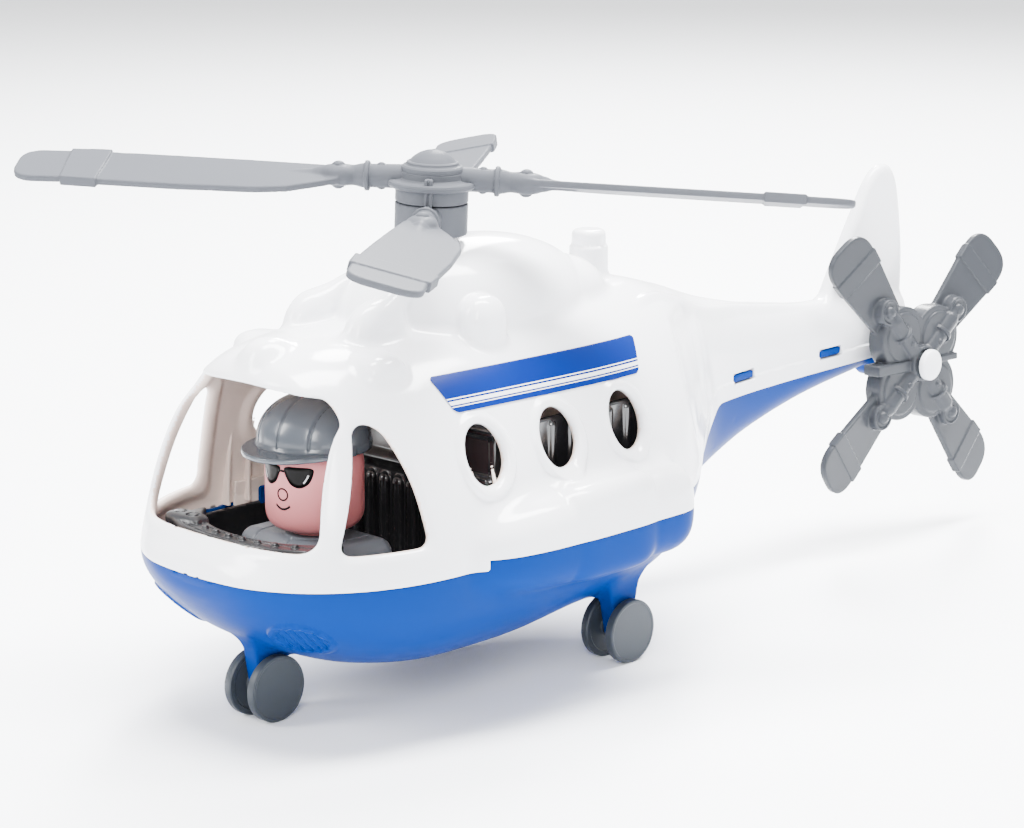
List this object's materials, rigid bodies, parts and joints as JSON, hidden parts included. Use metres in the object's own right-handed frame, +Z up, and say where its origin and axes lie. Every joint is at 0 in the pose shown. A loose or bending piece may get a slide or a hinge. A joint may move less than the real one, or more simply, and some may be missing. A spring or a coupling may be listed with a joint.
{
  "type": "toy helicopter",
  "caption": "Moulded plastic toy helicopter with a windowed cabin, seated pilot, spinning main and tail rotors and rolling wheels.",
  "frame": {"origin": "centre of the whole toy's footprint, on the ground under the wheels", "axes": "+X towards the nose, +Y to port, +Z up"},
  "size_m": [0.4026, 0.216, 0.1737],
  "materials": {
    "white_shell": "gloss",
    "blue_hull": "gloss",
    "grey_rotor": "satin gloss",
    "grey_tail_rotor": "satin gloss",
    "black_insert": "gloss",
    "dark_grey_panel": "gloss",
    "grey_figure": "gloss",
    "pink_head": "satin",
    "grey_wheel": "satin",
    "steel_axle": "bright",
    "white_pin": "gloss",
    "blue_decal": "printed film"
  },
  "bodies": {
    "fuselage": {"upper_shell": "white_shell", "lower_hull": "blue_hull", "cabin_tub": "black_insert", "dashboard": "dark_grey_panel", "pilot_torso": "grey_figure", "rotor_axle": "white_pin", "tail_pin": "white_pin", "decal_port": "blue_decal", "decal_starboard": "blue_decal"},
    "main_rotor": {"rotor_upper_bar": "grey_rotor", "rotor_lower_bar": "grey_rotor"},
    "tail_rotor_body": {"tail_rotor": "grey_tail_rotor"},
    "pilot_head_body": {"pilot_head": "pink_head", "pilot_cap": "grey_figure"},
    "nose_wheels": {"nose_axle": "steel_axle", "nose_port_wheel": "grey_wheel", "nose_starboard_wheel": "grey_wheel"},
    "rear_port_wheels": {"rear_port_axle": "steel_axle", "rear_port_port_wheel": "grey_wheel", "rear_port_starboard_wheel": "grey_wheel"},
    "rear_starboard_wheels": {"rear_starboard_axle": "steel_axle", "rear_starboard_port_wheel": "grey_wheel", "rear_starboard_starboard_wheel": "grey_wheel"}
  },
  "joints": [
    {"name": "main_rotor_spin", "type": "hinge", "parent": "fuselage", "child": "main_rotor", "pos_m": [0.09313, 0.00007, 0.1647], "axis": [-0.0091, 0.0407, 0.9991], "continuous": true},
    {"name": "tail_rotor_spin", "type": "hinge", "parent": "fuselage", "child": "tail_rotor_body", "pos_m": [-0.14887, 0.01707, 0.0692], "axis": [0.0785, 0.9963, 0.0348], "continuous": true},
    {"name": "pilot_head_turn", "type": "hinge", "parent": "fuselage", "child": "pilot_head_body", "pos_m": [0.14613, 0.00007, 0.07], "axis": [0, 0, 1], "continuous": true},
    {"name": "nose_wheels_roll", "type": "hinge", "parent": "fuselage", "child": "nose_wheels", "pos_m": [0.16883, 0.00007, 0.0109], "axis": [0, 1, 0], "continuous": true},
    {"name": "rear_port_wheels_roll", "type": "hinge", "parent": "fuselage", "child": "rear_port_wheels", "pos_m": [0.04643, 0.04027, 0.0109], "axis": [0, 1, 0], "continuous": true},
    {"name": "rear_starboard_wheels_roll", "type": "hinge", "parent": "fuselage", "child": "rear_starboard_wheels", "pos_m": [0.04643, -0.04013, 0.0109], "axis": [0, 1, 0], "continuous": true}
  ]
}
